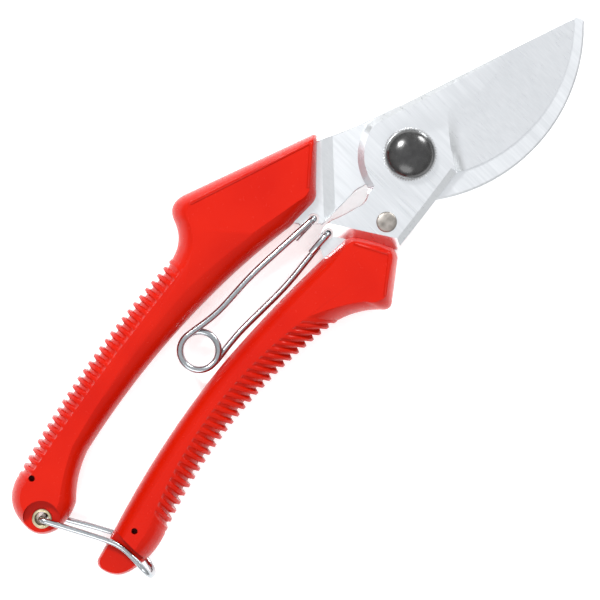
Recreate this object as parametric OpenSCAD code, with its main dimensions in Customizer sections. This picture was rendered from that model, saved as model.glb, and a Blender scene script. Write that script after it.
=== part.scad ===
// Bypass pruning shears with a hairpin spring and a wire catch.
// +X runs to the blade tips, +Y to the upper grip, +Z up, and Z = 0 is the surface they lie on.
// The pivot axis is the Z axis.

/* [Grips] */
// Thickness of both grips
grip_t = 15; // [14.6:0.1:17]
// Number of ridges along the back of each grip
ridge_count = 29; // [20:1:32]
// Depth of a ridge
ridge_depth = 1.4; // [0.6:0.1:1.6]
// Thickness of the lower grip's tongue, where the catch hooks over it
tongue_t = 8; // [6:0.2:8.4]

/* [Steel halves] */
// Thickness of each steel half
plate_t = 3; // [2.6:0.1:3.2]
// Gap between the two sliding faces
face_gap = 0.1; // [0.05:0.05:0.2]
// Radius of the cutting half's round boss
boss_r = 14.1; // [13.6:0.1:14.4]
// Thickness left at the cutting edge
edge_t = 0.4; // [0.3:0.1:0.8]

/* [Pivot] */
// Radius of the pivot bolt's shank
bolt_r = 4; // [3:0.1:4.2]
// Running clearance round the shank
bolt_fit = 0.05; // [0.02:0.01:0.1]
// Radius of the domed nut
nut_r = 6.6; // [6.2:0.1:7]
// Opening angle at which the stop pin meets the counter half
open_angle = 27; // [20:1:27]

/* [Wires] */
// Diameter of the spring wire
spring_d = 1.8; // [1.4:0.1:1.9]
// Diameter of the catch wire
catch_d = 1.6; // [1.2:0.1:1.7]

/* [Hidden] */
$fn = 96;
far = 200;
sliver = 0.001;

mid_z = grip_t / 2;
front_z = mid_z + face_gap / 2;
rear_z = mid_z - face_gap / 2 - plate_t;
tang_z = mid_z - plate_t / 2;

// Cutting edge and outer counter edge are arcs
edge_c = [26.5, 24.5];
edge_r = 42.2;
bevel_r = 25.3;
hook_c = [24, 24.5];
hook_r = 46.8;
throat_c = [32.8, 22.3];
throat_r = 36.2;

// Lines where each half steps over from its own layer to the middle one
lower_step = [[-17.4, -14.4], [-27, 0.5]];
upper_step = [[-24, 4], [-10.5, 18.5]];
step_w = 3;

pin_at = [-17, -8.3];
pin_r = 2;
ear_a = [-30, 6];
ear_b = [-30, 0.5];
ear_hole_r = 1.45;

eyelet_at = [-136.7, 0.7];
eyelet_bore_r = 1.75;
eyelet_r = 2.2;
eyelet_rim_r = 2.65;
eyelet_rim_t = 0.45;
recess_z = 4.6;
recess_r = 5.3;
catch_z = recess_z + eyelet_rim_t + catch_d / 2 + 0.15;

// Each tang's slot in its grip lies to the left of slot_x, above or below slot_y
upper_slot_x = -12;
lower_slot_x = -20;
slot_y = 3;
// Where the lower grip steps down to its tongue, in front and at the back
tongue_x = [-125.1, -123.7];

locator_r = 0.85;
upper_locator = [-130.8, 10];
lower_locator = [-121.5, -18.9];

washer_t = 0.8;
nut_z = front_z + plate_t + 0.05 + washer_t;
nut_h = 4.5;

coil_c = [-76.2, 2.7];
coil_r = 5.1;
coil_start = 82;
coil_sweep = 538;
coil_pitch = spring_d + 0.1;
spring_z = plate_t / 2 + spring_d / 2 + 0.15;

red = [0.86, 0.09, 0.03];
steel = [0.8, 0.82, 0.84];

// ---- helpers ----

function unit(v) = v / norm(v);

// Points from a towards b, bowed by sag to the left of that direction; b is left out
function bow(a, b, sag, n) =
    let (d = b - a, m = [-d.y, d.x] / norm(d))
    [for (k = [0 : n - 1]) let (t = k / n) a + d * t + m * 4 * sag * t * (1 - t)];

// A closed outline from rows of [corner, sag to the next corner, steps]
function outline(rows) =
    [for (i = [0 : len(rows) - 1])
        let (r = rows[i], b = rows[(i + 1) % len(rows)][0]) each bow(r[0], b, r[1], r[2])];

// Twice the area of the triangle a, b, c, positive when it turns left
function turn(a, b, c) = (b.x - a.x) * (c.y - a.y) - (b.y - a.y) * (c.x - a.x);

function holds(a, b, c, q) = turn(a, b, q) >= 0 && turn(b, c, q) >= 0 && turn(c, a, q) >= 0;

// Triangles that fill the counter-clockwise outline p: the ear with the shortest cut goes first
function filled(p, left) = len(left) == 3 ? [left] :
    let (n = len(left),
         ears = [for (k = [0 : n - 1])
             let (i = left[(k + n - 1) % n], j = left[k], l = left[(k + 1) % n])
             if (turn(p[i], p[j], p[l]) > sliver && len([for (q = left)
                 if (q != i && q != j && q != l && holds(p[i], p[j], p[l], p[q])) q]) == 0)
             [norm(p[l] - p[i]), k]],
         cut = min([for (e = ears) e[0]]),
         k = [for (e = ears) if (e[0] == cut) e[1]][0])
    concat([[left[(k + n - 1) % n], left[k], left[(k + 1) % n]]],
        filled(p, [for (m = [0 : n - 1]) if (m != k) left[m]]));

// A solid from loops of equal length, stacked upwards; the first and last have the same outline
module stack(loops) {
    n = len(loops[0]);
    layers = len(loops);
    ends = filled([for (q = loops[0]) [q.x, q.y]], [for (k = [0 : n - 1]) k]);
    polyhedron(
        points = [for (loop = loops) each loop],
        faces = concat(
            ends,
            [for (j = [0 : layers - 2], k = [0 : n - 1], half = [0, 1])
                let (a = j * n + k, b = j * n + (k + 1) % n)
                half == 0 ? [a, a + n, b] : [b, a + n, b + n]],
            [for (t = ends) [for (k = [2, 1, 0]) t[k] + (layers - 1) * n]]));
}

// Rounds the corners of a path of [x, y, z, distance before and after the corner]
function rounded(path, steps) =
    let (last = len(path) - 1, p = [for (q = path) [q[0], q[1], q[2]]])
    concat([p[0]],
        [for (i = [1 : last - 1], k = [0 : steps])
            let (a = p[i] + unit(p[i - 1] - p[i]) * path[i][3],
                 b = p[i] + unit(p[i + 1] - p[i]) * path[i][3], t = k / steps)
            (a * (1 - t) + p[i] * t) * (1 - t) + (p[i] * (1 - t) + b * t) * t],
        [p[last]]);

function across(v) = unit(cross(v, abs(v.z) < 0.9 ? [0, 0, 1] : [1, 0, 0]));

// A round wire of diameter d along the points p
module wire(p, d, sides = 12) {
    n = len(p);
    t = [for (i = [0 : n - 1]) unit(p[min(i + 1, n - 1)] - p[max(i - 1, 0)])];
    u = [for (i = 0, s = across(t[0]); i < n; i = i + 1, s = i < n ? unit(s - (s * t[i]) * t[i]) : s) s];
    polyhedron(
        points = [for (i = [0 : n - 1], k = [0 : sides - 1])
            let (a = 360 * k / sides) p[i] + (u[i] * cos(a) + cross(t[i], u[i]) * sin(a)) * d / 2],
        faces = concat(
            [[for (k = [0 : sides - 1]) k]],
            [for (i = [0 : n - 2], k = [0 : sides - 1], half = [0, 1])
                let (a = i * sides + k, b = i * sides + (k + 1) % sides)
                half == 0 ? [a, a + sides, b] : [b, a + sides, b + sides]],
            [[for (k = [sides - 1 : -1 : 0]) (n - 1) * sides + k]]));
}

// Everything to the left of the line from a to b, from its distance off onwards
module left_of(line, off = 0) {
    d = line[1] - line[0];
    translate(line[0]) rotate(atan2(d.y, d.x)) translate([-far, off]) square([2 * far, far]);
}

// A block above a slope that falls from z_top at the line to z_low at step_w to its left
module above_slope(line, z_top, z_low) {
    d = line[1] - line[0];
    translate([line[0].x, line[0].y, z_top]) rotate(atan2(d.y, d.x))
        rotate([atan2(z_low - z_top, step_w), 0, 0]) translate([-far, -step_w, 0])
            cube([2 * far, 4 * step_w, 4 * plate_t]);
}

// ---- cutting half ----

// Blade: a straight spine over an arc-shaped edge
module blade_outline() {
    intersection() {
        translate(edge_c) circle(edge_r);
        polygon([[-3, 13.5], [0, 13.3], [8, 10.7], [56.3, -5.3], [56.3, -25],
            [5.2, -25], [5.2, -12.2], [-3, -8]]);
    }
}

module cutting_outline() {
    circle(boss_r);
    blade_outline();
    polygon(concat(
        [[5.2, -12.2], [0, 0], [-13.6, 3.5], [-15.1, 0.9]],
        bow([-16.2, 0], [-20, 0.2], 0.4, 4),
        [[-20, 0.2], [-24, 1.8]],
        bow([-27, 2.5], [-33.8, 0], -0.9, 8),
        [[-33.8, 0], [-35.6, -3.4], [-38, -6.6], [-60, -7.4], [-80, -8.6], [-100, -11.8], [-125, -17.2],
         [-125, -20.6], [-100, -15.6], [-80, -12.4], [-60, -12], [-46, -12.6], [-32, -20.4], [-24.5, -16]]));
}

module cutting_blade() color(steel) difference() {
    union() {
        translate([0, 0, front_z]) linear_extrude(plate_t) difference() {
            cutting_outline();
            left_of(lower_step);
        }
        translate([0, 0, tang_z]) linear_extrude(plate_t) intersection() {
            cutting_outline();
            left_of(lower_step, step_w);
        }
        difference() {
            translate([0, 0, tang_z]) linear_extrude(front_z + plate_t - tang_z) intersection() {
                cutting_outline();
                difference() {
                    left_of(lower_step);
                    left_of(lower_step, step_w);
                }
            }
            above_slope(lower_step, front_z + plate_t, tang_z + plate_t);
        }
    }
    // ground face, from the arc where it starts down to the edge
    intersection() {
        translate([edge_c.x, edge_c.y, front_z]) rotate_extrude() polygon([
            [bevel_r, plate_t], [edge_r + 1, edge_t - 0.2],
            [edge_r + 1, plate_t + 1], [bevel_r, plate_t + 1]]);
        linear_extrude(far)
            polygon([[5.2, -12.2], [9.4, -5.6], [15.5, 1.9], [60, 1.9], [60, -30], [5.2, -30]]);
    }
    translate([0, 0, front_z - 1]) cylinder(r = bolt_r + bolt_fit, h = plate_t + 2);
    translate([pin_at.x, pin_at.y, front_z - 1]) cylinder(r = pin_r, h = plate_t + 2);
    translate([ear_b.x, ear_b.y, tang_z - 1]) cylinder(r = ear_hole_r, h = plate_t + 2);
}

module stop_pin() color([0.55, 0.53, 0.5]) translate([pin_at.x, pin_at.y, rear_z])
    rotate_extrude() polygon([[0, 0], [pin_r, 0], [pin_r, front_z + plate_t - rear_z],
        [2.75, front_z + plate_t - rear_z], [2.6, front_z + plate_t - rear_z + 0.4],
        [1.9, front_z + plate_t - rear_z + 0.6], [0, front_z + plate_t - rear_z + 0.6]]);

// ---- counter half ----

// Hooked blade: an outer arc less the arc of the throat, with a blunt tip
module hook_outline() {
    difference() {
        intersection() {
            translate(hook_c) circle(hook_r);
            polygon([[-5, -8], [12, -5], [55.4, -4.9], [57.4, -5.5], [58.4, -6.5], [58.7, -7.6], [58.7, -26],
                [-9.6, -26], [-9.6, -13.8]]);
        }
        translate(throat_c) circle(throat_r);
    }
}

module counter_outline() {
    circle(13.4);
    hook_outline();
    polygon(concat(
        [[12, -6], [6, 11.2], [-4, 15.2], [-14.3, 19.7], [-30, 25.3], [-44, 28], [-54, 23.5], [-62, 18.4],
         [-80, 17], [-100, 14.8], [-133, 11.6], [-133, 8.2], [-118, 9.4], [-100, 11.6], [-80, 13.6],
         [-62, 14.2], [-46, 13], [-38, 11.4], [-34.8, 9.2], [-33.9, 7.8]],
        bow([-33.6, 5.6], [-29.5, 3.25], 0.7, 6),
        [[-29.5, 3.25], [-16.5, 3.4], [-13.4, 2.5], [-13.5, -4], [-12, -10], [-9.6, -13.4], [-5, -13.3]]));
}

module counter_blade() color(steel) difference() {
    union() {
        translate([0, 0, rear_z]) linear_extrude(plate_t) difference() {
            counter_outline();
            left_of(upper_step);
        }
        translate([0, 0, tang_z]) linear_extrude(plate_t) intersection() {
            counter_outline();
            left_of(upper_step, step_w);
        }
        difference() {
            translate([0, 0, rear_z]) linear_extrude(tang_z + plate_t - rear_z) intersection() {
                counter_outline();
                difference() {
                    left_of(upper_step);
                    left_of(upper_step, step_w);
                }
            }
            above_slope(upper_step, rear_z + plate_t, tang_z + plate_t);
        }
    }
    // relief behind the throat edge
    translate([throat_c.x, throat_c.y, rear_z]) intersection() {
        rotate_extrude()
            polygon([[throat_r - 1, -1], [throat_r + 4, -1], [throat_r + 4, 0], [throat_r - 1, 1.6]]);
        translate([-20, -far, -1]) cube([far, far, far]);
    }
    // notch that the stop pin meets at the opening limit
    rotate(open_angle) translate([pin_at.x, pin_at.y, rear_z - 1]) cylinder(r = pin_r + 0.1, h = plate_t + 2);
    translate([-bolt_r, -bolt_r, rear_z - 1]) cube([2 * bolt_r, 2 * bolt_r, plate_t + 2]);
    translate([ear_a.x, ear_a.y, tang_z - 1]) cylinder(r = ear_hole_r, h = plate_t + 2);
}

// ---- pivot ----

module pivot_bolt() color([0.3, 0.3, 0.32]) {
    rotate_extrude() polygon([[0, 0], [6.2, 0], [7, 0.8], [7, rear_z], [0, rear_z]]);
    translate([-bolt_r, -bolt_r, rear_z]) cube([2 * bolt_r, 2 * bolt_r, plate_t]);
    translate([0, 0, rear_z + plate_t]) cylinder(r = bolt_r, h = nut_z + nut_h - 1.2 - rear_z - plate_t);
}

module lock_ring() color([0.6, 0.6, 0.6]) translate([0, 0, nut_z - washer_t]) difference() {
    union() {
        cylinder(r = 7, h = washer_t);
        for (k = [0 : 59]) rotate(k * 6) translate([6.8, 0, 0]) rotate(45) translate([-0.25, -0.25, 0])
            cube([0.5, 0.5, washer_t]);
    }
    translate([0, 0, -1]) cylinder(r = bolt_r, h = washer_t + 2);
}

module pivot_nut() color([0.1, 0.1, 0.1]) translate([0, 0, nut_z]) difference() {
    rotate_extrude() polygon(concat([[0, 0], [nut_r, 0], [nut_r, 1.4]],
        [for (a = [10 : 10 : 80]) [nut_r * cos(a), 1.4 + (nut_h - 1.4) * sin(a)]], [[0, nut_h]]));
    translate([0, 0, -1]) cylinder(r = bolt_r, h = nut_h - 1.2 + 1);
}

// ---- grips ----

upper_side = [
    [[-14.2, 21.9], 0, 4], [[-50, 34.9], -1.9, 6], [[-56.8, 31.2], 1.1, 6],
    [[-63.5, 25.2], -2.2, 10], [[-134, 13.2], -2.2, 8], [[-141.7, 3.5], -2, 8],
    [[-136.5, -4.2], -0.7, 4], [[-127.7, -2.5], 0.8, 5], [[-116, 4.9], 1.7, 10], [[-60, 10.8], 0.4, 4],
    [[-36, 8.9], 0, 2], [[-27.5, 9], -0.5, 4], [[-24, 11], 0, 3], [[-13.9, 20.8], 0, 1]];
upper_face = [
    [[-15.7, 20.8], 0, 4], [[-50, 31.8], -1, 6], [[-54.2, 27.8], 1.4, 6],
    [[-63, 20.8], -1, 10], [[-133, 10.2], -1.6, 8], [[-138.6, 4], -1.6, 8],
    [[-136, -1.6], 0, 4], [[-130, 0.6], 0.5, 5], [[-117, 8.5], 1.2, 10], [[-68, 16.6], 0.6, 4],
    [[-40, 13.8], 0, 2], [[-29.6, 12], -0.4, 4], [[-25.4, 12.1], 0, 3], [[-15.9, 20.2], 0, 1]];

lower_side = [
    [[-20.6, -14.3], -0.4, 4], [[-26, -4.8], -0.4, 3], [[-29, -3.8], 0, 2], [[-36, -3.2], -0.5, 6],
    [[-75, -4.2], -1.3, 10], [[-126, -15], 0, 3], [[-134, -17.2], -0.5, 4], [[-135.6, -19.6], -1.6, 6],
    [[-129.5, -26], -0.9, 6], [[-117, -25.2], 4.6, 12], [[-44, -17.8], 0.7, 4],
    [[-34.5, -23.6], -1.2, 6], [[-30.3, -23.9], 0, 3], [[-21.6, -17.2], -0.3, 3]];
lower_face = [
    [[-21.9, -14.3], -0.3, 4], [[-26.9, -5.7], -0.2, 3], [[-29.6, -5.2], 0, 2], [[-36, -6.2], -0.6, 6],
    [[-75, -8], -1, 10], [[-124, -18], 0, 3], [[-131, -19.4], -0.2, 4], [[-132.4, -20.4], -0.6, 6],
    [[-128.6, -22.8], -0.5, 6], [[-116.3, -20], 4.9, 12], [[-49.5, -11.3], 0.5, 4],
    [[-36, -19], -0.8, 6], [[-31.2, -22], 0, 3], [[-22.7, -16], -0.1, 3]];

// A grip: its side outline half way up, rounded over to its flat face at top and bottom
module moulding(side, face) {
    s = outline(side);
    f = outline(face);
    n = len(s);
    stack([for (a = [-90 : 22.5 : 90])
        [for (k = [0 : n - 1])
            let (p = s[k] * cos(a) + f[k] * (1 - cos(a))) [p.x, p.y, mid_z * (1 + sin(a))]]]);
}

// Grooves between the ridges along one row of a side outline, from a to b
module grooves(a, b, sag) {
    d = b - a;
    m = [-d.y, d.x] / norm(d);
    w = norm(d) / ridge_count / 2;
    for (k = [0 : ridge_count - 1]) {
        t = (k + 0.5) / ridge_count;
        run = d + m * 4 * sag * (1 - 2 * t);
        at = a + d * t + m * 4 * sag * t * (1 - t);
        translate([at.x, at.y, -1]) rotate(atan2(run.y, run.x)) translate([-w / 2, ridge_depth - 2 * w, 0])
            cube([w, 2 * w, grip_t + 2]);
    }
}

module upper_grip() color(red) difference() {
    moulding(upper_side, upper_face);
    grooves(upper_side[3][0], upper_side[4][0], upper_side[3][1]);
    translate([0, 0, tang_z]) linear_extrude(plate_t) intersection() {
        counter_outline();
        translate([upper_slot_x - far, slot_y]) square(far);
    }
    for (side = [0, 1]) translate([0, 0, mid_z]) mirror([0, 0, side]) {
        translate([eyelet_at.x, eyelet_at.y, recess_z]) cylinder(r = recess_r, h = grip_t);
        translate([upper_locator.x, upper_locator.y, plate_t / 2]) cylinder(r = locator_r, h = grip_t);
    }
    translate([eyelet_at.x, eyelet_at.y, -1]) cylinder(r = eyelet_r, h = grip_t + 2);
}

module lower_grip() color(red) difference() {
    moulding(lower_side, lower_face);
    grooves(lower_side[9][0], lower_side[10][0], lower_side[9][1]);
    translate([0, 0, tang_z]) linear_extrude(plate_t) intersection() {
        cutting_outline();
        translate([lower_slot_x - far, slot_y - far]) square(far);
    }
    for (side = [0, 1]) translate([0, 0, mid_z]) mirror([0, 0, side]) {
        translate([lower_locator.x, lower_locator.y, plate_t / 2]) cylinder(r = locator_r, h = grip_t);
        // step down to the tongue
        translate([tongue_x[side] - far, -far, tongue_t / 2]) cube([far, far, grip_t]);
    }
}

// ---- catch ----

module catch_eyelet() color([0.75, 0.66, 0.45]) translate([eyelet_at.x, eyelet_at.y, mid_z]) difference() {
    union() {
        translate([0, 0, -recess_z]) cylinder(r = eyelet_r, h = 2 * recess_z);
        for (side = [0, 1]) mirror([0, 0, side]) translate([0, 0, recess_z])
            cylinder(r = eyelet_rim_r, h = eyelet_rim_t);
    }
    translate([0, 0, -grip_t]) cylinder(r = eyelet_bore_r, h = 2 * grip_t);
}

// One leg of the catch, from the eyelet to the round end
function catch_leg(shift, z) = [
    [eyelet_at.x + shift / 2, eyelet_at.y, z, 1.6], [-129.2 + shift, -12.8, z, 3.5],
    [-126.4 + shift, -18.6, z, 3], [-126.2 + shift, -24.4, z, 3], [-127 + shift / 2, -30.4, z, 4.6]];

module catch_wire() color([0.78, 0.76, 0.72]) {
    front = catch_leg(-0.6, mid_z + catch_z);
    rear = catch_leg(0.7, mid_z - catch_z);
    start = [eyelet_at.x, eyelet_at.y, mid_z, 0];
    wire(rounded(concat([start + [0, 0, 0.02, 0]], front, [for (k = [4 : -1 : 0]) rear[k]],
        [start - [0, 0, 0.02, 0]]), 6), catch_d);
}

// ---- spring ----

function coil(a0, sweep, steps) = [for (k = [0 : steps])
    let (a = a0 + sweep * k / steps)
    [coil_c.x + coil_r * cos(a), coil_c.y + coil_r * sin(a),
     mid_z + coil_pitch * (0.77 - (a - coil_start) / 360)]];

// Upper arm: folded end behind the ear, through its hole, over the front, then round the coil
module spring_coil() color([0.72, 0.71, 0.68]) {
    z = spring_z;
    arm = rounded([[-37.3, 5.7, mid_z - z, 0], [-30, 6, mid_z - z, 1.6], [-30, 6, mid_z + z, 1.6],
        [-52, 7.1, mid_z + z, 5], [-66, 6.3, mid_z + 2, 4], [-73, 7.4, mid_z + 1.5, 0]], 6);
    wire(concat(arm, coil(coil_start, coil_sweep - 19, 45)), spring_d);
}

// Lower arm: from the coil along the back, through its ear's hole, folded over the front
module spring_arm() color([0.72, 0.71, 0.68]) {
    z = spring_z;
    wire(rounded([[-75.1, -2.4, mid_z - 1.5, 0], [-66, -1.3, mid_z - 2, 4], [-48, -1.5, mid_z - z, 5],
        [-30, 0.5, mid_z - z, 1.6], [-30, 0.5, mid_z + z, 1.6], [-37.1, 0.1, mid_z + z, 0]], 6), spring_d);
}

cutting_blade();
counter_blade();
upper_grip();
lower_grip();
pivot_bolt();
pivot_nut();
lock_ring();
stop_pin();
spring_coil();
spring_arm();
catch_eyelet();
catch_wire();
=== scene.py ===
import math

import bmesh
import bpy
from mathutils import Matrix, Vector

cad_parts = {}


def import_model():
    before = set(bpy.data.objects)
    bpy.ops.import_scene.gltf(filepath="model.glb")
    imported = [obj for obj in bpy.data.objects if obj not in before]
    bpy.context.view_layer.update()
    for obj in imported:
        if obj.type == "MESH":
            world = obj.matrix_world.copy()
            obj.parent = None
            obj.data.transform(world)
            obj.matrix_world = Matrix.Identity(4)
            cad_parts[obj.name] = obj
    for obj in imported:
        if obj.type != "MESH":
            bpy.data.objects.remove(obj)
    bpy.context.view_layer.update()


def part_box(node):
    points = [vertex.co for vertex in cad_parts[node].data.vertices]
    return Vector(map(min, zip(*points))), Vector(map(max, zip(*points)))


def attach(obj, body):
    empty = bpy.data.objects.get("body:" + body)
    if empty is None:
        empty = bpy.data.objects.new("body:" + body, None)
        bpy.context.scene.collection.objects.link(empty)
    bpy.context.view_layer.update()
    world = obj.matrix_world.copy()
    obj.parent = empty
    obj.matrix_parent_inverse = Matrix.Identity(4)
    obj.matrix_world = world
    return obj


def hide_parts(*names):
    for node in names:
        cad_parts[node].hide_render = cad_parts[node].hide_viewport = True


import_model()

# Sizes are in millimetres as far as the floor, and are turned into metres where a mesh is made.
MM = 0.001
grip_low, grip_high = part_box("upper_grip")
GRIP_T = (grip_high.z - grip_low.z) / MM
MID_Z = GRIP_T / 2
PLATE_T = 3.0
FACE_GAP = 0.1
FRONT_Z = MID_Z + FACE_GAP / 2
FRONT_TOP = FRONT_Z + PLATE_T
REAR_Z = MID_Z - FACE_GAP / 2 - PLATE_T
REAR_TOP = REAR_Z + PLATE_T
TANG_Z = MID_Z - PLATE_T / 2
TANG_TOP = TANG_Z + PLATE_T
STEP_W = 3.0

EDGE_C = Vector((26.5, 24.5))
EDGE_R = 42.2
EDGE_T = 0.4
BEVEL_R = 25.3
HOOK_C = Vector((24.0, 24.5))
HOOK_R = 46.8
THROAT_C = Vector((32.8, 22.3))
THROAT_R = 36.2
BOSS_R = 14.1
COUNTER_BOSS_R = 13.4
# Lines where each half steps over from its own layer to the middle one
LOWER_STEP = ((-17.4, -14.4), (-27, 0.5))
UPPER_STEP = ((-24, 4), (-10.5, 18.5))

PIN = Vector((-17.0, -8.3))
PIN_R = 2.0
PIN_HEAD_R = 2.72
NOTCH_FIT = 0.1
OPEN_ANGLE = math.radians(27)
EAR_A = Vector((-30.0, 6.0))
EAR_B = Vector((-30.0, 0.5))
EAR_HOLE_R = 1.45

BOLT_R = 4.0
BOLT_FIT = 0.05
BOLT_HEAD_R = 7.0
RING_T = 0.8
RING_FIT = 0.05
NUT_Z = FRONT_TOP + RING_T + RING_FIT
NUT_R = 6.6
NUT_H = 4.5
NUT_RIM_H = 0.9

EYELET = Vector((-136.7, 0.7))
EYELET_R = 2.2
EYELET_RIM_T = 0.45
RECESS_Z = 4.6
RECESS_R = 4.9
UPPER_LOCATOR = (-130.8, 10)
LOWER_LOCATOR = (-121.5, -18.9)
LOCATOR_R = 0.85
# Distance of each locator hole's floor from the middle
LOCATOR_Z = 1.6
TONGUE_T = 8.0
# Where the lower grip steps down to its tongue, in front and at the back
TONGUE_X = (-125.1, -123.7)

COIL = Vector((-76.2, 2.7))
COIL_R = 5.1
SPRING_D = 1.8
WIRE_FIT = 0.15
SPRING_Z = PLATE_T / 2 + SPRING_D / 2 + WIRE_FIT
CATCH_D = 1.6
CATCH_Z = RECESS_Z + EYELET_RIM_T + CATCH_D / 2 + WIRE_FIT


# ---- materials ----

def new_material(name):
    mat = bpy.data.materials.new(name)
    mat.use_nodes = True
    nodes = mat.node_tree.nodes
    return mat, nodes, mat.node_tree.links, nodes["Principled BSDF"]


def noise(nodes, links, scale, detail, stretch=(1, 1, 1), turn=0.0):
    """Object-space noise, stretched along the axes and turned about Z."""
    place = nodes.new("ShaderNodeTexCoord")
    mapping = nodes.new("ShaderNodeMapping")
    mapping.inputs["Rotation"].default_value = (0, 0, turn)
    mapping.inputs["Scale"].default_value = stretch
    texture = nodes.new("ShaderNodeTexNoise")
    texture.inputs["Scale"].default_value = scale
    texture.inputs["Detail"].default_value = detail
    links.new(place.outputs["Object"], mapping.inputs["Vector"])
    links.new(mapping.outputs["Vector"], texture.inputs["Vector"])
    return texture.outputs["Fac"]


def ramp(nodes, links, fac, stops):
    """A colour ramp from (place, colour) stops."""
    node = nodes.new("ShaderNodeValToRGB")
    node.color_ramp.elements[0].position, node.color_ramp.elements[0].color = stops[0]
    node.color_ramp.elements[1].position, node.color_ramp.elements[1].color = stops[-1]
    for place, colour in stops[1:-1]:
        node.color_ramp.elements.new(place).color = colour
    links.new(fac, node.inputs["Fac"])
    return node.outputs["Color"]


def spread(nodes, links, fac, low, high):
    """Maps noise, which mostly lies between 0.3 and 0.7, to a range."""
    node = nodes.new("ShaderNodeMapRange")
    node.inputs["From Min"].default_value = 0.3
    node.inputs["From Max"].default_value = 0.7
    node.inputs["To Min"].default_value = low
    node.inputs["To Max"].default_value = high
    links.new(fac, node.inputs["Value"])
    return node.outputs["Result"]


def bump(nodes, links, height, shader, strength, distance):
    node = nodes.new("ShaderNodeBump")
    node.inputs["Strength"].default_value = strength
    node.inputs["Distance"].default_value = distance
    links.new(height, node.inputs["Height"])
    links.new(node.outputs["Normal"], shader.inputs["Normal"])


def grey(v, tint=0.0):
    return (v, v, v + tint, 1)


def red_plastic():
    mat, nodes, links, shader = new_material("red_plastic")
    tone = noise(nodes, links, 60, 3)
    stops = [(0.3, (0.45, 0.006, 0.0008, 1)), (0.7, (0.50, 0.009, 0.0012, 1))]
    colour = ramp(nodes, links, tone, stops)
    links.new(colour, shader.inputs["Base Color"])
    scuff = noise(nodes, links, 900, 4)
    links.new(spread(nodes, links, scuff, 0.2, 0.28), shader.inputs["Roughness"])
    shader.inputs["Specular IOR Level"].default_value = 0.16
    bump(nodes, links, noise(nodes, links, 700, 2), shader, 0.12, 0.00005)
    return mat


# Share of the fine grain in a ground steel's colour; the broad streaks take the rest
GRAIN_SHARE = 0.55


def ground_steel(name, low, high, rough, turn, lines):
    """Steel ground in one direction: long fine lines in colour, roughness and bump."""
    mat, nodes, links, shader = new_material(name)
    grain = noise(nodes, links, 520, 3, (5, 0.16, 5), turn)
    broad = noise(nodes, links, 45, 2, (1.6, 0.5, 1.6), turn)
    mix = nodes.new("ShaderNodeMath")
    mix.operation = "MULTIPLY_ADD"
    mix.inputs[1].default_value = GRAIN_SHARE
    links.new(grain, mix.inputs[0])
    rest = nodes.new("ShaderNodeMath")
    rest.operation = "MULTIPLY"
    rest.inputs[1].default_value = 1 - GRAIN_SHARE
    links.new(broad, rest.inputs[0])
    links.new(rest.outputs[0], mix.inputs[2])
    stops = [(0.3, (low - 0.03, low, low + 0.02, 1)), (0.7, (high - 0.025, high, high + 0.02, 1))]
    links.new(ramp(nodes, links, mix.outputs[0], stops), shader.inputs["Base Color"])
    shader.inputs["Metallic"].default_value = 1.0
    links.new(spread(nodes, links, grain, rough - 0.03, rough + 0.05), shader.inputs["Roughness"])
    bump(nodes, links, grain, shader, lines, 0.00001)
    return mat


def plain_metal(name, low, high, rough, scale=700):
    """Metal with a fine speckle in colour, roughness and bump."""
    mat, nodes, links, shader = new_material(name)
    speckle = noise(nodes, links, scale, 5)
    links.new(ramp(nodes, links, speckle, [(0.3, low), (0.7, high)]), shader.inputs["Base Color"])
    shader.inputs["Metallic"].default_value = 1.0
    links.new(spread(nodes, links, speckle, rough - 0.05, rough + 0.1), shader.inputs["Roughness"])
    bump(nodes, links, speckle, shader, 0.2, 0.00003)
    return mat


def black_gloss():
    mat, nodes, links, shader = new_material("black_nut")
    speckle = noise(nodes, links, 420, 6)
    colour = ramp(nodes, links, speckle, [(0.35, grey(0.008)), (0.72, grey(0.022))])
    links.new(colour, shader.inputs["Base Color"])
    links.new(spread(nodes, links, speckle, 0.16, 0.34), shader.inputs["Roughness"])
    shader.inputs["Coat Weight"].default_value = 0.6
    shader.inputs["Coat Roughness"].default_value = 0.2
    bump(nodes, links, noise(nodes, links, 260, 3), shader, 0.35, 0.00012)
    return mat


RED = red_plastic()
BLADE = ground_steel("blade_steel", 0.79, 0.86, 0.30, math.radians(-20), 0.12)
COUNTER = ground_steel("counter_steel", 0.78, 0.85, 0.34, math.radians(70), 0.1)
NUT = black_gloss()
RING = plain_metal("washer_steel", grey(0.45), grey(0.66), 0.3)
RIVET = plain_metal("pin_steel", (0.22, 0.205, 0.185, 1), (0.40, 0.375, 0.345, 1), 0.42, scale=520)
WIRE = ground_steel("spring_wire", 0.36, 0.48, 0.2, 0.0, 0.1)
CATCH = ground_steel("catch_wire", 0.4, 0.52, 0.2, 0.0, 0.1)
BRASS = plain_metal("eyelet_brass", (0.50, 0.42, 0.26, 1), (0.70, 0.62, 0.42, 1), 0.28)
BOLT = plain_metal("dark_steel", grey(0.16), grey(0.26), 0.36)


# ---- mesh helpers ----

def make(name, verts, faces, mat, smooth_angle=35):
    """A mesh object from millimetre points, shaded smooth up to an angle."""
    mesh = bpy.data.meshes.new(name)
    mesh.from_pydata([Vector(v) * MM for v in verts], [], faces)
    obj = bpy.data.objects.new(name, mesh)
    bpy.context.scene.collection.objects.link(obj)
    work = bmesh.new()
    work.from_mesh(mesh)
    bmesh.ops.recalc_face_normals(work, faces=work.faces)
    work.to_mesh(mesh)
    work.free()
    if mat:
        mesh.materials.append(mat)
    shade(obj, smooth_angle)
    return obj


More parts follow.
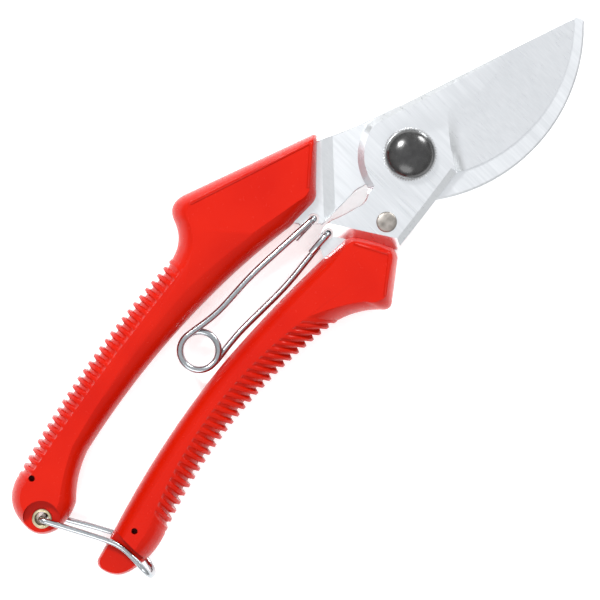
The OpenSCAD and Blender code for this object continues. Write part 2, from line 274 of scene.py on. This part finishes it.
def shade(obj, angle):
    """Smooth faces, with edges sharper than the angle left hard."""
    mesh = obj.data
    mesh.polygons.foreach_set("use_smooth", [True] * len(mesh.polygons))
    work = bmesh.new()
    work.from_mesh(mesh)
    for edge in work.edges:
        if len(edge.link_faces) == 2:
            edge.smooth = edge.calc_face_angle(0) < math.radians(angle)
    work.to_mesh(mesh)
    work.free()


def apply_modifiers(obj):
    graph = bpy.context.evaluated_depsgraph_get()
    graph.update()
    mesh = bpy.data.meshes.new_from_object(obj.evaluated_get(graph))
    obj.modifiers.clear()
    obj.data = mesh


def carve(obj, cutters, operation="DIFFERENCE"):
    """Cuts or joins the cutters, which are then deleted."""
    for cutter in cutters:
        step = obj.modifiers.new("carve", "BOOLEAN")
        step.operation = operation
        step.solver = "EXACT"
        step.object = cutter
    apply_modifiers(obj)
    for cutter in cutters:
        bpy.data.objects.remove(cutter)


def bow(a, b, sag, n):
    """n points from a towards b, bowed to the left by sag; b is left out."""
    a, b = Vector(a), Vector(b)
    d = b - a
    m = Vector((-d.y, d.x)).normalized()
    return [a + d * (k / n) + m * 4 * sag * (k / n) * (1 - k / n) for k in range(n)]


def arc(centre, radius, a0, a1, n):
    """n + 1 points on a circle, angles in degrees."""
    angles = [math.radians(a0 + (a1 - a0) * k / n) for k in range(n + 1)]
    return [centre + radius * Vector((math.cos(a), math.sin(a))) for a in angles]


def normals(loop):
    """Outward unit normals of a counter-clockwise closed outline."""
    n = len(loop)
    out = []
    for k in range(n):
        d = (loop[(k + 1) % n] - loop[k]).normalized() + (loop[k] - loop[k - 1]).normalized()
        out.append(Vector((d.y, -d.x)).normalized())
    return out


def stack(name, loops, mat, smooth_angle=35):
    """A closed solid from equal loops of 3-D points, joined in order."""
    n = len(loops[0])
    verts = [p for loop in loops for p in loop]
    faces = [tuple(reversed(range(n)))]
    for j in range(len(loops) - 1):
        for k in range(n):
            a, b = j * n + k, j * n + (k + 1) % n
            faces.append((a, b, b + n, a + n))
    faces.append(tuple((len(loops) - 1) * n + k for k in range(n)))
    return make(name, verts, faces, mat, smooth_angle)


def plate(name, edge, z0, z1, mat):
    """A plate from (point, chamfer width, chamfer depth) along its outline, with its back edge chamfered."""
    rear = 0.25
    points = [e[0] for e in edge]
    out = normals(points)
    loops = [
        [(p.x - m.x * rear, p.y - m.y * rear, z0) for p, m in zip(points, out)],
        [(p.x, p.y, z0 + rear) for p in points],
        [(p.x, p.y, z1 - e[2]) for p, e in zip(points, edge)],
        [(p.x - m.x * e[1], p.y - m.y * e[1], z1) for p, m, e in zip(points, out, edge)],
    ]
    return stack(name, loops, mat)


def prism(points, z0, z1):
    return stack("cutter", [[(p[0], p[1], z0) for p in points], [(p[0], p[1], z1) for p in points]], None)


def disc(centre, radius, z0, z1, n=64):
    return prism(arc(Vector(centre), radius, 0, 360 * (n - 1) / n, n - 1), z0, z1)


def turned(name, centre, profile, mat, n):
    """A vertical solid of revolution from (radius, z) points that end on the axis or close up."""
    verts, faces = [], []
    rings = []
    for r, z in profile:
        if r < 1e-6:
            rings.append([len(verts)])
            verts.append((centre[0], centre[1], z))
        else:
            rings.append([len(verts) + k for k in range(n)])
            for k in range(n):
                a = math.tau * k / n
                verts.append((centre[0] + r * math.cos(a), centre[1] + r * math.sin(a), z))
    pairs = list(zip(rings, rings[1:]))
    if profile[0][0] > 1e-6:
        pairs.append((rings[-1], rings[0]))
    for a, b in pairs:
        for k in range(n):
            q = [a[k % len(a)], a[(k + 1) % n % len(a)], b[(k + 1) % n % len(b)], b[k % len(b)]]
            q = list(dict.fromkeys(q))
            if len(q) > 2:
                faces.append(tuple(q))
    return make(name, verts, faces, mat)


def rounded(path):
    """Rounds the corners of a path of (x, y, z, distance before and after the corner)."""
    steps = 10
    p = [Vector(q[:3]) for q in path]
    out = [p[0]]
    for i in range(1, len(p) - 1):
        a = p[i] + (p[i - 1] - p[i]).normalized() * path[i][3]
        b = p[i] + (p[i + 1] - p[i]).normalized() * path[i][3]
        for k in range(steps + 1):
            t = k / steps
            out.append(a.lerp(p[i], t).lerp(p[i].lerp(b, t), t))
    out.append(p[-1])
    return out


def wire(name, path, d, mat, sides):
    """A round wire along the points, with its cut ends slightly bevelled."""
    lift = d * 0.12
    t0 = (path[1] - path[0]).normalized()
    t1 = (path[-1] - path[-2]).normalized()
    route = [path[0], path[0] + t0 * lift] + path[1:-1] + [path[-1] - t1 * lift, path[-1]]
    radii = [d / 2 - lift] + [d / 2] * (len(route) - 2) + [d / 2 - lift]
    loops = []
    side = t0.cross(Vector((0, 0, 1)) if abs(t0.z) < 0.9 else Vector((1, 0, 0))).normalized()
    for i, p in enumerate(route):
        t = (route[min(i + 1, len(route) - 1)] - route[max(i - 1, 0)]).normalized()
        side = (side - side.dot(t) * t).normalized()
        other = t.cross(side)
        turns = [math.tau * k / sides for k in range(sides)]
        loops.append([p + (side * math.cos(a) + other * math.sin(a)) * radii[i] for a in turns])
    return stack(name, loops, mat, 50)


def finished(obj, body, slot_name, *nodes):
    """Rides the piece on its body and hides the CAD nodes it stands for; slot_name is not used."""
    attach(obj, body)
    if nodes:
        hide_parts(*nodes)


# ---- grips ----

RIDGES = 29
RIDGE_STEPS = 12 * RIDGES
RIDGE_DEPTH = 1.4

# Rows of corner, sag to the next corner, steps; the side outline and the face outline match row for row
UPPER_SIDE = [
    ((-14.2, 21.9), 0, 24), ((-50, 34.9), -1.9, 24), ((-56.8, 31.2), 1.1, 24),
    ((-63.5, 25.2), -2.2, RIDGE_STEPS), ((-134, 13.2), -2.2, 24), ((-141.7, 3.5), -2, 24),
    ((-136.5, -4.2), -0.7, 16), ((-127.7, -2.5), 0.8, 16), ((-116, 4.9), 1.7, 40), ((-60, 10.8), 0.4, 16),
    ((-36, 8.9), 0, 8), ((-27.5, 9), -0.5, 12), ((-24, 11), 0, 12), ((-13.9, 20.8), -0.2, 4)]
UPPER_FACE = [
    ((-15.7, 20.8), 0, 24), ((-50, 31.8), -1, 24), ((-54.2, 27.8), 1.4, 24),
    ((-63, 20.8), -1, RIDGE_STEPS), ((-133, 10.2), -1.6, 24), ((-138.6, 4), -1.6, 24),
    ((-136, -1.6), 0, 16), ((-130, 0.6), 0.5, 16), ((-117, 8.5), 1.2, 40), ((-68, 16.6), 0.6, 16),
    ((-40, 13.8), 0, 8), ((-29.6, 12), -0.4, 12), ((-25.4, 12.1), 0, 12), ((-15.9, 20.2), -0.1, 4)]
LOWER_SIDE = [
    ((-20.6, -14.3), -0.4, 16), ((-26, -4.8), -0.4, 10), ((-29, -3.8), 0, 6), ((-36, -3.2), -0.5, 24),
    ((-75, -4.2), -1.3, 36), ((-126, -15), 0, 8), ((-134, -17.2), -0.5, 12), ((-135.6, -19.6), -1.6, 20),
    ((-129.5, -26), -0.9, 20), ((-117, -25.2), 4.6, RIDGE_STEPS), ((-44, -17.8), 0.7, 16),
    ((-34.5, -23.6), -1.2, 20), ((-30.3, -23.9), 0, 12), ((-21.6, -17.2), -0.3, 10)]
LOWER_FACE = [
    ((-21.9, -14.3), -0.3, 16), ((-26.9, -5.7), -0.2, 10), ((-29.6, -5.2), 0, 6), ((-36, -6.2), -0.6, 24),
    ((-75, -8), -1, 36), ((-124, -18), 0, 8), ((-131, -19.4), -0.2, 12), ((-132.4, -20.4), -0.6, 20),
    ((-128.6, -22.8), -0.5, 20), ((-116.3, -20), 4.9, RIDGE_STEPS), ((-49.5, -11.3), 0.5, 16),
    ((-36, -19), -0.8, 20), ((-31.2, -22), 0, 12), ((-22.7, -16), -0.1, 10)]

# Angle of the rounding where it meets the flat face, and levels from the middle to each face
CREASE = math.radians(58)
SIDE_LEVELS = 18
# Edges flatter than this many degrees are shaded smooth
GRIP_SMOOTH = 32

BEAD_D = 1.1


def outline(rows):
    """A closed outline from its rows."""
    points = []
    for i, row in enumerate(rows):
        points += bow(row[0], rows[(i + 1) % len(rows)][0], row[1], row[2])
    return points


def groove(t):
    """Depth share across one ridge pitch, t from 0 to 1: half a flat valley, the ridge, half a valley."""
    top, flank = 0.30, 0.34
    x = abs(t - 0.5) * 2
    return min(1.0, max(0.0, (x - top) / flank)) ** 1.4


def moulding(name, side_rows, face_rows, ridge_row):
    """A grip: its side outline rounds over to a flat face, and grooves cut the ridges into the rounding."""
    side, face = outline(side_rows), outline(face_rows)
    out = normals(side)
    first = sum(r[2] for r in side_rows[:ridge_row])
    share = [0.0] * len(side)
    # steps over which the ridges grow at each end of their row
    growth = 20
    for k in range(RIDGE_STEPS):
        t = (k / RIDGE_STEPS * RIDGES) % 1.0
        ends = min(1.0, k / growth, (RIDGE_STEPS - k) / growth)
        share[first + k] = groove(t) * ends
    loops = []
    # share of a groove's depth lost towards the face, and share of the rounding over which it runs out
    lost, run_out = 0.78, 0.06
    for j in range(-SIDE_LEVELS, SIDE_LEVELS + 1):
        a = CREASE * j / SIDE_LEVELS
        inwards = (1 - math.cos(a)) / (1 - math.cos(CREASE))
        z = MID_Z * (1 + math.sin(a) / math.sin(CREASE))
        fade = min(1.0, (1 - abs(j) / SIDE_LEVELS) / run_out)
        loop = []
        for s, f, m, g in zip(side, face, out, share):
            cut = g * RIDGE_DEPTH * (1 - lost * abs(j) / SIDE_LEVELS) * fade
            p = s.lerp(f, inwards) - m * cut * math.cos(a)
            loop.append((p.x, p.y, z - cut * math.sin(a)))
        loops.append(loop)
    return stack(name, loops, RED, GRIP_SMOOTH)


def bead(name, body, points):
    """A raised rim on a grip's front face, where a little under half of its wire shows."""
    path = [(p[0], p[1], GRIP_T - BEAD_D * 0.22, p[2]) for p in points]
    finished(wire(name, rounded(path), BEAD_D, RED, 20), body, "red_plastic")


def from_faces(depth_z):
    """Z ranges from outside the front face, then the back face, to depth_z from the middle."""
    return (MID_Z + depth_z, GRIP_T + 1), (-1, MID_Z - depth_z)


def upper_grip():
    obj = moulding("upper_grip_moulding", UPPER_SIDE, UPPER_FACE, 3)
    cutters = [disc(EYELET, EYELET_R, -1, GRIP_T + 1)]
    cutters += [disc(EYELET, RECESS_R, z0, z1, 96) for z0, z1 in from_faces(RECESS_Z)]
    cutters += [disc(UPPER_LOCATOR, LOCATOR_R, z0, z1, 32) for z0, z1 in from_faces(LOCATOR_Z)]
    carve(obj, cutters)
    shade(obj, GRIP_SMOOTH)
    finished(obj, "counter_half", "red_plastic", "upper_grip")
    bead("upper_grip_bead", "counter_half", [(-50.2, 31.6, 0), (-16.4, 20.5, 1.0), (-25.4, 12.6, 0)])


def lower_grip():
    obj = moulding("lower_grip_moulding", LOWER_SIDE, LOWER_FACE, 9)
    cutters = []
    # a corner past the grip's end
    end_x, end_y = -145, -40
    for x, step, hole in zip(TONGUE_X, from_faces(TONGUE_T / 2), from_faces(LOCATOR_Z)):
        cutters.append(prism([(end_x, end_y), (x, end_y), (x, 0), (end_x, 0)], *step))
        cutters.append(disc(LOWER_LOCATOR, LOCATOR_R, *hole, 32))
    carve(obj, cutters)
    shade(obj, GRIP_SMOOTH)
    finished(obj, "cutting_half", "red_plastic", "lower_grip")
    bead("lower_grip_bead", "cutting_half", [(-27.2, -6.2, 0), (-22.5, -14.9, 1.0), (-31.2, -21.7, 0)])


# ---- steel halves ----

# The two sides of a step line, as distances to its left, and heights clear of every piece
RIGHT = (-120, 0)
LEFT = (0, 150)
BELOW, ABOVE = -5, 30
# Heights of a hole's cutter right through a steel half
THROUGH = (-1, 20)
# Edges flatter than this many degrees are shaded smooth
STEEL_SMOOTH = 22


def with_chamfer(points, width, depth):
    """Rows for plate() with one chamfer along all the points."""
    return [(Vector(p), width, depth) for p in points]


def along(line):
    """A line's ends, its direction and the unit vector to its left."""
    a, b = Vector(line[0]), Vector(line[1])
    d = (b - a).normalized()
    return a, b, d, Vector((-d.y, d.x))


def side_of(line, side):
    """A block on one side of a line."""
    a, b, d, m = along(line)
    start, end = a - d * 60, b + d * 60
    near, far = side
    return prism([start + m * near, end + m * near, end + m * far, start + m * far], BELOW, ABOVE)


def slope_cutter(line, profile):
    """A block along a line from (distance to its left, z) points."""
    a, b, d, m = along(line)
    middle = (a + b) / 2
    ends = [middle - d * 80, middle + d * 80]
    return stack("cutter", [[(end + m * u).to_tuple() + (z,) for u, z in profile] for end in ends], None)


def ground_wedge():
    """What grinding takes off the cutting blade's face, from a start arc down to the edge."""
    step = [Vector((4.9, -12.6)), Vector((9.4, -5.6)), Vector((15.5, 1.9)), Vector((17.5, 4.4))]

    def start_angle(r):
        """Angle at which the step line crosses the radius r."""
        best = None
        for a, b in zip(step, step[1:]):
            for k in range(41):
                p = a.lerp(b, k / 40)
                miss = abs((p - EDGE_C).length - r)
                if best is None or miss < best[0]:
                    best = (miss, p)
        p = best[1] - EDGE_C
        return math.atan2(p.y, p.x)

    n_r, n_a = 20, 90
    # starting height, overrun at the edge, end angle beyond the tip, and length of the hollow start
    top, past_edge, past_tip, hollow = FRONT_TOP + 0.02, 0.8, math.radians(-22), 3.2
    low, high = [], []
    for i in range(n_r + 1):
        s = i / n_r
        r = BEVEL_R + (EDGE_R + past_edge - BEVEL_R) * s
        drop = (PLATE_T - EDGE_T) * (s ** 0.92)
        a0 = start_angle(min(r, EDGE_R))
        for j in range(n_a + 1):
            a = a0 + (past_tip - a0) * (j / n_a) ** 1.6
            ease = math.sin(math.pi / 2 * min(1.0, (a - a0) * r / hollow))
            x, y = EDGE_C.x + r * math.cos(a), EDGE_C.y + r * math.sin(a)
            low.append((x, y, top - drop * ease))
            high.append((x, y, FRONT_TOP + 3))
    w, count = n_a + 1, (n_r + 1) * (n_a + 1)
    faces = []
    for i in range(n_r):
        for j in range(n_a):
            q = (i * w + j, i * w + j + 1, (i + 1) * w + j + 1, (i + 1) * w + j)
            faces += [q, tuple(v + count for v in reversed(q))]
    rim = list(range(w)) + [i * w + n_a for i in range(1, n_r + 1)]
    rim += [n_r * w + j for j in range(n_a - 1, -1, -1)] + [i * w for i in range(n_r - 1, 0, -1)]
    for a, b in zip(rim, rim[1:] + rim[:1]):
        faces.append((a, b, b + count, a + count))
    return make("cutter", low + high, faces, None)


def cutting_blade():
    """Counter-clockwise from the heel: edge, tip, spine, boss rim, ear, hidden tang, neck."""
    heel = math.degrees(math.atan2(-12.2 - EDGE_C.y, 5.2 - EDGE_C.x))
    tip = math.degrees(math.atan2(-5.3 - EDGE_C.y, 56.3 - EDGE_C.x))
    rim = with_chamfer(arc(EDGE_C, EDGE_R, heel, tip, 90)[1:], 0.02, 0.02)
    # the spine's chamfer widens over 30 mm towards the pivot
    for k in range(1, 41):
        p = Vector((56.1, -5.2)).lerp(Vector((8, 10.7)), k / 40)
        share = min(1, max(0, (44 - p.x) / 30))
        rim.append((p, 0.05 + 1.35 * share, 0.03 + 0.85 * share))
    rim += with_chamfer([(5, 11.7), (2.4, 12.6), (0, 13.3)], 1.4, 0.9)
    for k, p in enumerate(arc(Vector((0, -0.5)), BOSS_R, 98, 172, 40)):
        share = min(1, k / 12)
        rim.append((p, 1.4 + 0.25 * share, 0.9 + 1.3 * share))
    crescent = bow((-14.9, 0.9), (-20, 0.2), 0.85, 12)[1:] + bow((-20, 0.2), (-27, 2.5), 0.15, 8)
    rim += with_chamfer(crescent, 0.3, 0.25)
    rim += with_chamfer(bow((-27, 2.5), (-33.8, 0), -0.9, 20), 0.25, 0.2)
    rim += with_chamfer([(-33.8, 0), (-35.6, -3.4), (-38, -6.6), (-60, -7.4), (-80, -8.6), (-100, -11.8),
                         (-120, -16.2), (-120, -19.6), (-100, -15.6), (-80, -12.4), (-60, -12), (-46, -12.6),
                         (-32, -20.4), (-24.5, -16)], 0.2, 0.2)
    # the neck's edge sags a little between its ends
    for k in range(25):
        p = Vector((-20.6, -15.5)).lerp(Vector((5.2, -12.2)), k / 24)
        rim.append((p - Vector((0, 0.12)) * math.sin(math.pi * k / 24), 1.9, 1.0))
    obj = plate("cutting_blade_plate", rim, FRONT_Z, FRONT_TOP, BLADE)
    # the tang's side, as deep as both layers, then cut to a slope above
    tang = plate("tang", rim, TANG_Z, FRONT_TOP, BLADE)
    above = FRONT_TOP + 5
    slope = [(0, FRONT_TOP), (0, above), (180, above), (180, TANG_TOP), (STEP_W, TANG_TOP)]
    carve(tang, [side_of(LOWER_STEP, RIGHT), slope_cutter(LOWER_STEP, slope)])
    carve(obj, [side_of(LOWER_STEP, LEFT)])
    carve(obj, [tang], "UNION")
    carve(obj, [ground_wedge(), disc((0, 0), BOLT_R + BOLT_FIT, *THROUGH),
                disc(EAR_B, EAR_HOLE_R, *THROUGH)])
    shade(obj, STEEL_SMOOTH)
    finished(obj, "cutting_half", "blade_steel", "cutting_blade")


def counter_blade():
    """Counter-clockwise from the heel: outer arc, blunt tip, throat, boss, arm, hidden tang, ear."""
    start = math.degrees(math.atan2(-13.4 - HOOK_C.y, -4.0 - HOOK_C.x))
    end = math.degrees(math.atan2(-8.6 - HOOK_C.y, 57.2 - HOOK_C.x))
    rim = with_chamfer([(-9.6, -13.4)], 0.2, 0.2)
    rim += with_chamfer(arc(HOOK_C, HOOK_R, start, end, 110), 0.5, 0.35)
    rim += with_chamfer(bow((58.3, -7.6), (56.6, -5.2), -0.7, 14), 0.4, 0.35)
    throat0 = math.degrees(math.atan2(-5.6 - THROAT_C.y, 55.9 - THROAT_C.x))
    throat1 = math.degrees(math.atan2(-5.5 - THROAT_C.y, 10.5 - THROAT_C.x))
    rim += with_chamfer(arc(THROAT_C, THROAT_R, throat0, throat1, 70)[1:], 0.1, 0.1)
    rim += with_chamfer(arc(Vector((0, 0)), COUNTER_BOSS_R, -28, 58, 24)[1:], 0.2, 0.2)
    rim += with_chamfer([(-4, 15.2), (-14.3, 19.7), (-30, 25.3), (-44, 28), (-54, 23.5), (-62, 18.4),
                         (-80, 17), (-100, 14.8), (-128, 11.9), (-128, 8.7), (-118, 9.4), (-100, 11.6),
                         (-80, 13.6), (-62, 14.2), (-46, 13), (-38, 11.4), (-34.8, 9.2), (-33.9, 7.8)],
                        0.3, 0.25)
    rim += with_chamfer(bow((-33.6, 5.6), (-29.5, 3.25), 0.7, 16), 0.25, 0.2)
    rim += with_chamfer([(-29.5, 3.25), (-16.5, 3.4), (-13.4, 2.5), (-13.5, -4), (-12, -10)], 0.25, 0.2)
    obj = plate("counter_blade_plate", rim, REAR_Z, REAR_TOP, COUNTER)
    tang = plate("tang", rim, REAR_Z, TANG_TOP, COUNTER)
    carve(tang, [side_of(UPPER_STEP, RIGHT)])
    # slope up from the rear layer to the middle one, and the underside back up to the tang's own
    above, below = TANG_TOP + 4, REAR_Z - 1
    rise = [(-0.5, REAR_TOP), (STEP_W, TANG_TOP), (STEP_W, above), (-0.5, above)]
    underside = [(STEP_W, below), (STEP_W, REAR_Z), (STEP_W + 1.5, TANG_Z), (180, TANG_Z), (180, below)]
    carve(tang, [slope_cutter(UPPER_STEP, rise), slope_cutter(UPPER_STEP, underside)])
    carve(obj, [side_of(UPPER_STEP, LEFT)])
    carve(obj, [tang], "UNION")
    cos, sin = math.cos(OPEN_ANGLE), math.sin(OPEN_ANGLE)
    opened = Vector((PIN.x * cos - PIN.y * sin, PIN.x * sin + PIN.y * cos))
    square = [(-BOLT_R, -BOLT_R), (BOLT_R, -BOLT_R), (BOLT_R, BOLT_R), (-BOLT_R, BOLT_R)]
    carve(obj, [disc(opened, PIN_R + NOTCH_FIT, REAR_Z - 1, REAR_TOP + 1),
                disc(EAR_A, EAR_HOLE_R, *THROUGH), prism(square, -1, REAR_TOP + 1)])
    shade(obj, STEEL_SMOOTH)
    finished(obj, "counter_half", "blade_steel", "counter_blade")


# ---- pivot pieces ----

def nut():
    bore_r, bore_top, steps = 3.9, NUT_Z + 3.3, 24
    profile = [(0, bore_top), (bore_r, bore_top), (bore_r, NUT_Z), (NUT_R - 0.35, NUT_Z),
               (NUT_R, NUT_Z + 0.3), (NUT_R, NUT_Z + NUT_RIM_H)]
    for k in range(1, steps + 1):
        a = math.radians(90 * k / steps)
        r = NUT_R * math.cos(a) ** 0.9 if k < steps else 0
        profile.append((r, NUT_Z + NUT_RIM_H + (NUT_H - NUT_RIM_H) * math.sin(a)))
    obj = turned("pivot_nut_dome", (0, 0), profile, NUT, 128)
    finished(obj, "counter_half", "black_nut", "pivot_nut")


def lock_ring():
    """A toothed washer with its upper rim bevelled."""
    teeth, per_tooth = 60, 6
    root_r, tooth_h, chamfer, bore_r = 6.75, 0.40, 0.12, 4.1
    z0, z1 = NUT_Z - RING_T, NUT_Z
    n = teeth * per_tooth
    inner, outer_low, outer_high = [], [], []
    for k in range(n):
        a = math.tau * k / n
        tooth = abs((k % per_tooth) / per_tooth - 0.5) * 2
        r = root_r + tooth_h * tooth
        inner.append((bore_r * math.cos(a), bore_r * math.sin(a)))
        outer_low.append((r * math.cos(a), r * math.sin(a)))
        outer_high.append(((r - chamfer) * math.cos(a), (r - chamfer) * math.sin(a)))
    levels = [(inner, z0), (outer_low, z0), (outer_low, z1 - 0.2), (outer_high, z1), (inner, z1)]
    verts = [(x, y, z) for loop, z in levels for x, y in loop]
    faces = []
    for j in range(len(levels)):
        up = (j + 1) % len(levels)
        for k in range(n):
            turn = (k + 1) % n
            faces.append((j * n + k, j * n + turn, up * n + turn, up * n + k))
    obj = make("lock_ring_toothed", verts, faces, RING, 25)
    finished(obj, "counter_half", "washer_steel", "lock_ring")


def bolt():
    top = NUT_Z + 3
    profile = [(0, 0), (5.9, 0), (6.5, 0.18), (6.9, 0.7), (BOLT_HEAD_R, 1.3), (BOLT_HEAD_R, REAR_Z),
               (BOLT_R, REAR_Z), (BOLT_R, top), (0, top)]
    obj = turned("pivot_bolt_head", (0, 0), profile, BOLT, 128)
    finished(obj, "counter_half", "dark_steel", "pivot_bolt")


def stop_pin():
    top = FRONT_TOP
    profile = [(0, REAR_Z), (1.7, REAR_Z), (PIN_R, REAR_Z + 0.3), (PIN_R, top - 0.5),
               (PIN_HEAD_R, top - 0.5), (PIN_HEAD_R, top + 0.15), (2.6, top + 0.32), (2.3, top + 0.45),
               (1.6, top + 0.56), (0.8, top + 0.6), (0, top + 0.6)]
    obj = turned("stop_pin_rivet", PIN, profile, RIVET, 64)
    finished(obj, "cutting_half", "pin_steel", "stop_pin")


# ---- spring and catch ----

# The coil turns from COIL_START over COIL_SWEEP degrees and starts COIL_LEAD pitches in front of the middle
COIL_START = 82
COIL_SWEEP = 538
COIL_PITCH = SPRING_D + 0.1
COIL_LEAD = 0.77
# Distance before and after each bend at an ear
EAR_BEND = 1.6
WIRE_SIDES = 24


def coil(a0, sweep, steps):
    out = []
    for k in range(steps + 1):
        a = a0 + sweep * k / steps
        out.append(Vector((COIL.x + COIL_R * math.cos(math.radians(a)),
                           COIL.y + COIL_R * math.sin(math.radians(a)),
                           MID_Z + COIL_PITCH * (COIL_LEAD - (a - COIL_START) / 360))))
    return out


def spring():
    """Two pieces that meet at the end of the coil: the coil with the upper arm, and the lower arm."""
    front, rear = MID_Z + SPRING_Z, MID_Z - SPRING_Z
    arm = rounded([(-37.3, 5.7, rear, 0), (EAR_A.x, EAR_A.y, rear, EAR_BEND),
                   (EAR_A.x, EAR_A.y, front, EAR_BEND), (-52, 7.1, front, 5),
                   (-66, 6.3, MID_Z + 2, 4), (-73, 7.4, MID_Z + 1.5, 0)])
    route = arm + coil(COIL_START, COIL_SWEEP - 2, 150)
    finished(wire("spring_coil_wire", route, SPRING_D, WIRE, WIRE_SIDES),
             "spring_upper", "spring_wire", "spring_coil")
    arm = rounded([(-75.1, -2.4, MID_Z - 1.5, 0), (-66, -1.3, MID_Z - 2, 4), (-48, -1.5, rear, 5),
                   (EAR_B.x, EAR_B.y, rear, EAR_BEND), (EAR_B.x, EAR_B.y, front, EAR_BEND),
                   (-37.1, 0.1, front, 0)])
    route = coil(COIL_START + COIL_SWEEP - 16, 15, 8) + arm
    finished(wire("spring_arm_wire", route, SPRING_D, WIRE, WIRE_SIDES),
             "spring_lower", "spring_wire", "spring_arm")


def catch_leg(shift, z):
    """One leg of the catch, from the eyelet to the round end."""
    return [(EYELET.x + shift / 2, EYELET.y, z, 1.6), (-129.2 + shift, -12.8, z, 3.5),
            (-126.4 + shift, -18.6, z, 3), (-126.2 + shift, -24.4, z, 3), (-127 + shift / 2, -30.4, z, 4.6)]


def catch():
    """The bail starts and ends in the eyelet, a hair apart."""
    front, rear = catch_leg(-0.6, MID_Z + CATCH_Z), catch_leg(0.7, MID_Z - CATCH_Z)
    start, end = (EYELET.x, EYELET.y, MID_Z, 0), (EYELET.x, EYELET.y, MID_Z - 0.04, 0)
    route = rounded([start] + front + rear[::-1] + [end])
    finished(wire("catch_wire_bail", route, CATCH_D, CATCH, WIRE_SIDES), "catch", "catch_wire", "catch_wire")


def eyelet():
    z = RECESS_Z
    rim = [(2.65, z), (2.65, z + 0.2), (2.45, z + 0.4), (2.15, z + EYELET_RIM_T), (1.9, z + 0.36),
           (1.76, z + 0.1)]
    tube = [(EYELET_R, MID_Z - z + 0.02), (EYELET_R, MID_Z + z - 0.02)]
    front = [(r, MID_Z + h) for r, h in rim]
    back = [(r, MID_Z - h) for r, h in reversed(rim)]
    obj = turned("catch_eyelet_rivet", EYELET, tube + front + [(1.75, MID_Z)] + back, BRASS, 64)
    finished(obj, "counter_half", "eyelet_brass", "catch_eyelet")


upper_grip()
lower_grip()
cutting_blade()
counter_blade()
nut()
lock_ring()
bolt()
stop_pin()
spring()
catch()
eyelet()


# ---- floor, light and camera, in metres ----

def floor():
    """A pale floor just under the tool, which glows a little so that it renders as near white."""
    mesh = bpy.data.meshes.new("floor")
    half, z = 3.0, -0.0003
    mesh.from_pydata([(-half, -half, z), (half, -half, z), (half, half, z), (-half, half, z)], [],
                     [(0, 1, 2, 3)])
    obj = bpy.data.objects.new("floor", mesh)
    bpy.context.scene.collection.objects.link(obj)
    mat, nodes, links, shader = new_material("floor")
    links.new(ramp(nodes, links, noise(nodes, links, 4, 2), [(0.3, grey(0.86)), (0.7, grey(0.88))]),
              shader.inputs["Base Color"])
    shader.inputs["Roughness"].default_value = 0.7
    shader.inputs["Emission Color"].default_value = (1, 1, 1, 1)
    shader.inputs["Emission Strength"].default_value = 0.45
    mesh.materials.append(mat)


def area_light(name, place, target, size, power):
    data = bpy.data.lights.new(name, "AREA")
    data.shape = "DISK"
    data.size = size
    data.energy = power
    obj = bpy.data.objects.new(name, data)
    obj.location = place
    obj.rotation_mode = "QUATERNION"
    obj.rotation_quaternion = (Vector(target) - Vector(place)).to_track_quat("-Z", "Y")
    bpy.context.scene.collection.objects.link(obj)


def world():
    """Light that brightens from the horizon to overhead."""
    scene = bpy.context.scene
    scene.world = scene.world or bpy.data.worlds.new("studio")
    scene.world.use_nodes = True
    back = scene.world.node_tree.nodes["Background"]
    back.inputs["Strength"].default_value = 0.9
    nodes, links = scene.world.node_tree.nodes, scene.world.node_tree.links
    place = nodes.new("ShaderNodeTexCoord")
    split = nodes.new("ShaderNodeSeparateXYZ")
    links.new(place.outputs["Generated"], split.inputs["Vector"])
    stops = [(0.05, grey(0.4)), (0.45, grey(0.74)), (0.93, grey(0.94, 0.02))]
    links.new(ramp(nodes, links, split.outputs["Z"], stops), back.inputs["Color"])
    scene.view_settings.view_transform = "Standard"


def camera():
    """Straight down, rolled so that the tool lies across the frame's diagonal."""
    view_width = 0.1594
    centre = (-0.04778, -0.00669)
    data = bpy.data.cameras.new("camera")
    data.sensor_width = 36
    data.lens = 150
    obj = bpy.data.objects.new("camera", data)
    height = view_width / 2 / (data.sensor_width / 2 / data.lens)
    obj.location = (*centre, MID_Z * MM + height)
    obj.rotation_euler = (0, 0, math.radians(-45))
    bpy.context.scene.collection.objects.link(obj)
    bpy.context.scene.camera = obj


floor()
world()
area_light("key", place=(0.05, 0.5, 0.62), target=(-0.04, 0, 0), size=0.2, power=5)
area_light("rim", place=(0.75, 0.1, 0.35), target=(-0.05, 0, 0), size=0.3, power=4)
area_light("fill", place=(-0.6, -0.35, 0.6), target=(-0.04, 0, 0), size=0.6, power=2.5)
camera()
